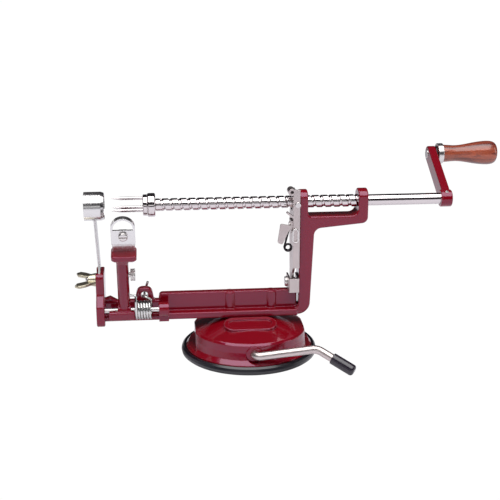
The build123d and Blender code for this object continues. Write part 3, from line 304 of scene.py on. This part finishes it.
# %% Dust: more on faces that point up, in soft patches
DUST = (0.5, 0.47, 0.45, 1)
dusty, enter, leave = new_group(
    "settled_dust",
    [("Base Color", "Color", (1, 1, 1, 1)), ("Roughness", "Float", 0.3), ("Amount", "Float", 0.1)],
    [("Base Color", "Color"), ("Roughness", "Float")])
facing = add(dusty, "SeparateXYZ", Vector=add(dusty, "NewGeometry").outputs["Normal"]).outputs["Z"]
spot = add(dusty, "TexCoord").outputs["Object"]
cloud = add(dusty, "TexNoise", Vector=spot, Scale=45.0, Detail=5.0)
share = maths(dusty, "MULTIPLY", maths(dusty, "MAXIMUM", facing, 0.0), cloud.outputs["Fac"])
share = maths(dusty, "MULTIPLY", share, enter.outputs["Amount"])
dusty.links.new(blend_colours(dusty, share, enter.outputs["Base Color"], DUST),
                leave.inputs["Base Color"])
dusty.links.new(maths(dusty, "ADD", enter.outputs["Roughness"], share), leave.inputs["Roughness"])
print("node groups:", [group.name for group in bpy.data.node_groups])

# %% [markdown]
# ## Finishes
# A finish starts from the Principled shader. Enamel is a coloured layer under a clear coat, so
# its red is deep where nothing bright is reflected and paler on upright faces, which mirror
# the paper. A violet tint on the gloss under the coat turns that reflection mauve. Plated parts
# are metals that differ in colour, roughness and the direction of their fine lines.


# %% Helpers for finishes
def finish(name, **values):
    """A new material and its Principled shader, with some sockets set."""
    made = bpy.data.materials.new(name)
    made.use_nodes = True
    shader = made.node_tree.nodes["Principled BSDF"]
    for label, value in values.items():
        shader.inputs[label.replace("_", " ")].default_value = value
    return made, made.node_tree, shader


def use_group(tree, group, **values):
    """A node group in a material, with its sockets set."""
    made = tree.nodes.new("ShaderNodeGroup")
    made.node_tree = group
    for label, value in values.items():
        socket = made.inputs[label.replace("_", " ")]
        if isinstance(value, bpy.types.NodeSocket):
            tree.links.new(value, socket)
        else:
            socket.default_value = value
    return made


def bump(tree, shader, height, distance, strength=1.0, coat=False, over=None):
    """Relief on a material, over a normal if one is given. Distance is the depth in metres."""
    made = add(tree, "Bump", Height=height, Distance=distance, Strength=strength)
    if over is not None:
        tree.links.new(over, made.inputs["Normal"])
    tree.links.new(made.outputs["Normal"], shader.inputs["Normal"])
    if coat:
        tree.links.new(made.outputs["Normal"], shader.inputs["Coat Normal"])


# %% Enamel
GLOSS_TINT = (0.75, 0.35, 1.0, 1.0)


def enamel(name, base, edge):
    """Gloss enamel on cast metal."""
    made, tree, shader = finish(name, Specular_IOR_Level=0.35, Specular_Tint=GLOSS_TINT,
                                Coat_Weight=1.0, Coat_Roughness=0.03, Coat_IOR=1.45)
    # Its lighter edge colour is partly worn paint and partly a painted highlight.
    edged = use_group(tree, edge_wear_and_highlight, Base_Color=(*base, 1), Edge_Color=(*edge, 1), Width=0.0009, Amount=1.2)
    dulled = use_group(tree, dusty, Base_Color=edged.outputs[0], Roughness=0.2, Amount=0.006)
    tree.links.new(dulled.outputs["Base Color"], shader.inputs["Base Color"])
    tree.links.new(dulled.outputs["Roughness"], shader.inputs["Roughness"])
    skin = use_group(tree, sprayed, Grain=700.0, Wave=110.0)
    bump(tree, shader, skin.outputs["Height"], 0.0001, 0.5, coat=True, over=edged.outputs["Normal"])
    return made


# %% Plated and ground metals
def plated(name, colour, low, high, stretch, depth=0.00002, dust=0.05):
    """A metal with fine lines; low and high are the two ends of its roughness."""
    made, tree, shader = finish(name, Metallic=1.0)
    worked = use_group(tree, lines, Stretch=stretch, Low=low, High=high)
    dulled = use_group(tree, dusty, Base_Color=(*colour, 1), Roughness=worked.outputs["Roughness"],
                       Amount=dust)
    tree.links.new(dulled.outputs["Base Color"], shader.inputs["Base Color"])
    tree.links.new(dulled.outputs["Roughness"], shader.inputs["Roughness"])
    edged = use_group(tree, edge_wear_and_highlight, Width=0.0004)
    bump(tree, shader, worked.outputs["Height"], depth, 0.4, over=edged.outputs["Normal"])
    return made


# %% Rubber and vinyl
def soft_skin(name, colour, roughness, coat):
    """Smooth rubber with a faint bloom."""
    made, tree, shader = finish(name, Coat_Weight=coat, Coat_Roughness=0.18, Specular_IOR_Level=0.6)
    dulled = use_group(tree, dusty, Base_Color=(*colour, 1), Roughness=roughness, Amount=0.012)
    tree.links.new(dulled.outputs["Base Color"], shader.inputs["Base Color"])
    tree.links.new(dulled.outputs["Roughness"], shader.inputs["Roughness"])
    skin = use_group(tree, sprayed, Grain=500.0, Wave=60.0)
    bump(tree, shader, skin.outputs["Height"], 0.00006, 0.4)
    return made


# %% Turned wood: long fibres along X, growth rings across them
DARK_WOOD, PALE_WOOD, PORE = (0.10, 0.012, 0.010, 1), (0.42, 0.085, 0.035, 1), (0.07, 0.01, 0.012, 1)


def turned_wood(name):
    """Stained and lacquered beech with its grain along the handle."""
    made, tree, shader = finish(name, Coat_Weight=0.8, Coat_Roughness=0.12)
    spot = add(tree, "TexCoord").outputs["Object"]
    along_grain = add(tree, "Mapping", Vector=spot, Scale=(60.0, 520.0, 520.0))
    fibres = add(tree, "TexNoise", Vector=along_grain.outputs[0], Scale=1.0, Detail=6.0, Roughness=0.65)
    slow = add(tree, "Mapping", Vector=spot, Scale=(22.0, 190.0, 190.0))
    rings = add(tree, "TexNoise", Vector=slow.outputs[0], Scale=1.0, Detail=3.0, Distortion=1.2)
    tone = add(tree, "ValToRGB", Fac=rings.outputs["Fac"])
    tone.color_ramp.elements[0].position = 0.34
    tone.color_ramp.elements[0].color = DARK_WOOD
    tone.color_ramp.elements[1].position = 0.66
    tone.color_ramp.elements[1].color = PALE_WOOD
    streak = maths(tree, "MULTIPLY", maths(tree, "GREATER_THAN", fibres.outputs["Fac"], 0.58), 0.55)
    colour = blend_colours(tree, streak, tone.outputs["Color"], PORE)
    tree.links.new(colour, shader.inputs["Base Color"])
    tree.links.new(add(tree, "MapRange", Value=fibres.outputs["Fac"], To_Min=0.28, To_Max=0.45).outputs[0],
                   shader.inputs["Roughness"])
    bump(tree, shader, fibres.outputs["Fac"], 0.00008, 0.35)
    return made


# %% One finish for each material slot
finishes = {
    # The second red is the lighter edge colour: partly worn paint, partly a painted highlight.
    "red_casting": enamel("red_enamel", (0.20, 0.0006, 0.006), (0.42, 0.03, 0.06)),
    "shaft_chrome": plated("chrome_plate", (0.70, 0.65, 0.655), 0.05, 0.12, (2500.0, 60.0, 60.0), dust=0.02),
    "plated_steel": plated("zinc_plate", (0.72, 0.69, 0.68), 0.18, 0.32, (300.0, 300.0, 900.0)),
    "lever_steel": plated("pressed_sheet", (0.60, 0.53, 0.52), 0.26, 0.42, (300.0, 1500.0, 120.0)),
    "blade_steel": plated("ground_steel", (0.76, 0.75, 0.75), 0.16, 0.3, (1400.0, 1400.0, 90.0)),
    "spring_steel": plated("spring_wire", (0.66, 0.66, 0.65), 0.15, 0.28, (400.0, 400.0, 400.0)),
    "dark_steel": plated("black_steel", (0.035, 0.03, 0.035), 0.3, 0.45, (500.0, 500.0, 500.0)),
    "nut_nickel": plated("dull_nickel", (0.60, 0.55, 0.42), 0.22, 0.38, (250.0, 250.0, 250.0), 0.00006),
    "cup_rubber": soft_skin("cup_rubber", (0.003, 0.0024, 0.007), 0.3, 0.25),
    "tip_vinyl": soft_skin("dipped_vinyl", (0.008, 0.003, 0.013), 0.25, 0.3),
    "grip_wood": turned_wood("stained_beech"),
}
slot_of = {part["node"]: part["material_slot"] for part in frame["record"]["subparts"]}
for name, piece in nodes.items():
    piece.data.materials.clear()
    piece.data.materials.append(finishes[slot_of[name]])
# The cam's round end is seen in its bearing and is enamelled with the housing.
nodes["cam_shaft"].data.materials[0] = finishes["red_casting"]
print("finishes:", len(finishes))

# %% [markdown]
# ## Pieces with more shape than the working model
# The working model leaves out what only the eye needs: a thread, a knurl, a weld. These pieces
# are made here at their true size, and each takes the place of its plain node or rides on it.


# %% Helpers for new pieces
def deselect():
    """Nothing selected and no object active in edit mode."""
    if bpy.context.object and bpy.context.object.mode != "OBJECT":
        bpy.ops.object.mode_set(mode="OBJECT")
    bpy.ops.object.select_all(action="DESELECT")


def pick(piece, test):
    """In edit mode, select the faces whose centre and normal pass a test."""
    bpy.ops.mesh.select_mode(type="FACE")
    bpy.ops.mesh.select_all(action="DESELECT")
    mesh = bmesh.from_edit_mesh(piece.data)
    for face in mesh.faces:
        if test(face.calc_center_median(), face.normal):
            face.select = True
    mesh.select_flush_mode()
    bmesh.update_edit_mesh(piece.data)
    return sum(face.select for face in mesh.faces)


def settle(piece, name, material, body, smooth=35):
    """Put a finished piece's place into its mesh, name it and let it ride on a body."""
    deselect()
    piece.select_set(True)
    bpy.context.view_layer.objects.active = piece
    bpy.ops.object.transform_apply(location=True, rotation=True, scale=True)
    bpy.ops.object.mode_set(mode="EDIT")
    bpy.ops.mesh.select_all(action="SELECT")
    bpy.ops.mesh.normals_make_consistent(inside=False)
    bpy.ops.object.mode_set(mode="OBJECT")
    bpy.ops.object.shade_smooth_by_angle(angle=radians(smooth))
    piece.name = name
    piece.data.materials.clear()
    piece.data.materials.append(material)
    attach(piece, body)
    low = [round(min(v.co[i] for v in piece.data.vertices), 4) for i in range(3)]
    print(name, len(piece.data.polygons), "faces, lowest corner", low)


# %% [markdown]
# The blade bolt ends in a visible thread. Its outline is drawn as a line of points and spun
# about the bolt's own axis, as on a lathe.

# %% Threaded end of the blade bolt
SHANK_R, ROOT_R = 2.5 * MM, 2.05 * MM
PITCH, TURNS = 0.8 * MM, 12
POINT, RUN_OUT, HEAD_DEPTH = 0.5 * MM, 0.3 * MM, 1.9 * MM
bolt_low, bolt_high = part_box("blade_bolt")
bolt_y, bolt_z = (bolt_low.y + bolt_high.y) / 2, (bolt_low.z + bolt_high.z) / 2
head_r = (bolt_high.z - bolt_low.z) / 2
outline = [(bolt_low.x, 0.0), (bolt_low.x, ROOT_R - POINT), (bolt_low.x + POINT, ROOT_R)]
for turn in range(TURNS):
    start = bolt_low.x + POINT + turn * PITCH
    outline += [(start + PITCH / 2, SHANK_R), (start + PITCH, ROOT_R)]
outline += [(outline[-1][0] + RUN_OUT, SHANK_R), (bolt_high.x - HEAD_DEPTH, SHANK_R),
            (bolt_high.x, head_r), (bolt_high.x, 0.0)]
deselect()
line = bpy.data.meshes.new("bolt_outline")
points = [(x, bolt_y, bolt_z + r) for x, r in outline]
line.from_pydata(points, [(i, i + 1) for i in range(len(points) - 1)], [])
bolt = bpy.data.objects.new("threaded_bolt", line)
bpy.context.scene.collection.objects.link(bolt)
bolt.select_set(True)
bpy.context.view_layer.objects.active = bolt
bpy.ops.object.mode_set(mode="EDIT")
bpy.ops.mesh.select_all(action="SELECT")
bpy.ops.mesh.spin(steps=40, angle=2 * pi, center=(0, bolt_y, bolt_z), axis=(1, 0, 0))
bpy.ops.mesh.select_all(action="SELECT")
bpy.ops.mesh.remove_doubles(threshold=0.00001)
settle(bolt, "threaded_bolt", finishes["plated_steel"], "frame", 25)
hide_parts("blade_bolt")

# %% [markdown]
# The stud on the peeling arm is knurled. A cylinder starts round. Its end face is dished, every
# second upright face is pressed in to make straight grooves, and the neck that goes into the arm
# is drawn out of its other end.

# %% Knurled stud
stud_low, stud_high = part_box("arm_stud")
stud_mid = (stud_low + stud_high) / 2
STUD_R, STUD_L = 4.3 * MM, 3.2 * MM
RIM, DISH_SLOPE, DISH_DEPTH = 0.45 * MM, 1.2 * MM, 0.35 * MM
GROOVE_EDGE, GROOVE_DEPTH, SHOULDER = 0.08 * MM, 0.28 * MM, 2.1 * MM
ON_AXIS = 0.1 * MM
deselect()
head_place = Vector((stud_high.x - STUD_L / 2, stud_mid.y, stud_mid.z))
bpy.ops.mesh.primitive_cylinder_add(vertices=48, radius=STUD_R, depth=STUD_L, location=head_place,
                                    rotation=(0, pi / 2, 0))
stud = bpy.context.object
bpy.ops.object.transform_apply(location=True, rotation=True, scale=True)
bpy.ops.object.mode_set(mode="EDIT")
pick(stud, lambda centre, normal: abs(normal.x) > 0.9)
bpy.ops.mesh.inset(thickness=RIM)
pick(stud, lambda centre, normal: normal.x > 0.9 and (centre - head_place).yz.length < ON_AXIS)
bpy.ops.mesh.inset(thickness=DISH_SLOPE)
bpy.ops.transform.translate(value=(-DISH_DEPTH, 0, 0))
knurl = bmesh.from_edit_mesh(stud.data)
upright = [f for f in knurl.faces if abs(f.normal.x) < 0.1 and f.calc_area() > 0.1 * MM * MM]
upright.sort(key=lambda f: (f.calc_center_median() - head_place).yz.angle_signed(Vector((1, 0))))
bmesh.ops.inset_individual(knurl, faces=upright[::2], thickness=GROOVE_EDGE, depth=-GROOVE_DEPTH)
bmesh.update_edit_mesh(stud.data)
pick(stud, lambda centre, normal: normal.x < -0.9 and (centre - head_place).yz.length < ON_AXIS)
bpy.ops.mesh.inset(thickness=SHOULDER)
neck = Vector((stud_low.x - head_place.x + STUD_L / 2, 0, 0))
bpy.ops.mesh.extrude_region_move(TRANSFORM_OT_translate={"value": neck})
bpy.ops.object.mode_set(mode="OBJECT")
settle(stud, "knurled_stud", finishes["plated_steel"], "peel_arm", 20)
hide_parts("arm_stud")

# %% [markdown]
# The wing nut is a small rough casting. The working model's nut has crisp edges, so a copy is
# remeshed finely and smoothed, which rounds every edge a little as a sand mould does.

# %% Cast wing nut
VOXEL = 0.28 * MM
deselect()
cast_nut = nodes["wing_nut"].copy()
cast_nut.data = nodes["wing_nut"].data.copy()
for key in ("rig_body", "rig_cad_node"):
    if key in cast_nut:
        del cast_nut[key]
bpy.context.scene.collection.objects.link(cast_nut)
cast_nut.parent = None
cast_nut.select_set(True)
bpy.context.view_layer.objects.active = cast_nut
shell = cast_nut.modifiers.new("skin", "REMESH")
shell.mode = "VOXEL"
shell.voxel_size = VOXEL
bpy.ops.object.modifier_apply(modifier="skin")
ease = cast_nut.modifiers.new("ease", "SMOOTH")
ease.factor, ease.iterations = 0.5, 4
bpy.ops.object.modifier_apply(modifier="ease")
settle(cast_nut, "cast_wing_nut", finishes["nut_nickel"], "blade_nut", 60)
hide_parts("wing_nut")

# %% [markdown]
# The cutting ring is brazed to the blade. The bead of braze is a thin ring cut down to the arc
# where the two meet, and a displace modifier makes it uneven.

# %% Braze bead under the cutting ring
BEAD_R, BEAD_HALF_GAP, BLADE_MIDDLE = 0.55 * MM, 0.85 * MM, 0.75 * MM
BEAD_CUT = radians(40)     # the cut planes' rise, which leaves the lowest part of the ring
FLOW_SIZE, FLOW_DEPTH = 1.8 * MM, 0.35 * MM
ring_low, ring_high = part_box("coring_ring")
blade_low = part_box("slicing_blade")[0]
ring_mid = (ring_low + ring_high) / 2
ring_r = (ring_high.z - ring_low.z) / 2
beads = []
for side in (-1, 1):
    deselect()
    bead_x = blade_low.x + BLADE_MIDDLE + side * BEAD_HALF_GAP
    bpy.ops.mesh.primitive_torus_add(major_segments=96, minor_segments=12, major_radius=ring_r,
                                     minor_radius=BEAD_R, location=(bead_x, ring_mid.y, ring_mid.z),
                                     rotation=(0, pi / 2, 0))
    bead = bpy.context.object
    bpy.ops.object.transform_apply(location=True, rotation=True, scale=True)
    bpy.ops.object.mode_set(mode="EDIT")
    for sign in (-1, 1):
        bpy.ops.mesh.select_all(action="SELECT")
        bpy.ops.mesh.bisect(plane_co=(bead_x, ring_mid.y, ring_mid.z),
                            plane_no=(0, sign * cos(BEAD_CUT), sin(BEAD_CUT)),
                            use_fill=True, clear_outer=True)
    bpy.ops.object.mode_set(mode="OBJECT")
    uneven = bpy.data.textures.new("braze_flow", "CLOUDS")
    uneven.noise_scale = FLOW_SIZE
    shake = bead.modifiers.new("flow", "DISPLACE")
    shake.texture = uneven
    shake.strength = FLOW_DEPTH
    bpy.ops.object.modifier_apply(modifier="flow")
    beads.append(bead)
deselect()
for bead in beads:
    bead.select_set(True)
bpy.context.view_layer.objects.active = beads[0]
bpy.ops.object.join()
settle(beads[0], "braze_bead", finishes["blade_steel"], "frame", 50)

# %% [markdown]
# ## Smooth shading
# The working model's meshes are faceted. Shading is set smooth wherever two faces meet at a
# small angle, so rounds look round and corners stay crisp.

# %% Smooth the working model's round faces
SMOOTH_BELOW = radians(32)
for piece in nodes.values():
    deselect()
    piece.select_set(True)
    bpy.context.view_layer.objects.active = piece
    bpy.ops.object.shade_smooth_by_angle(angle=SMOOTH_BELOW)

# %% Leave nothing selected
deselect()
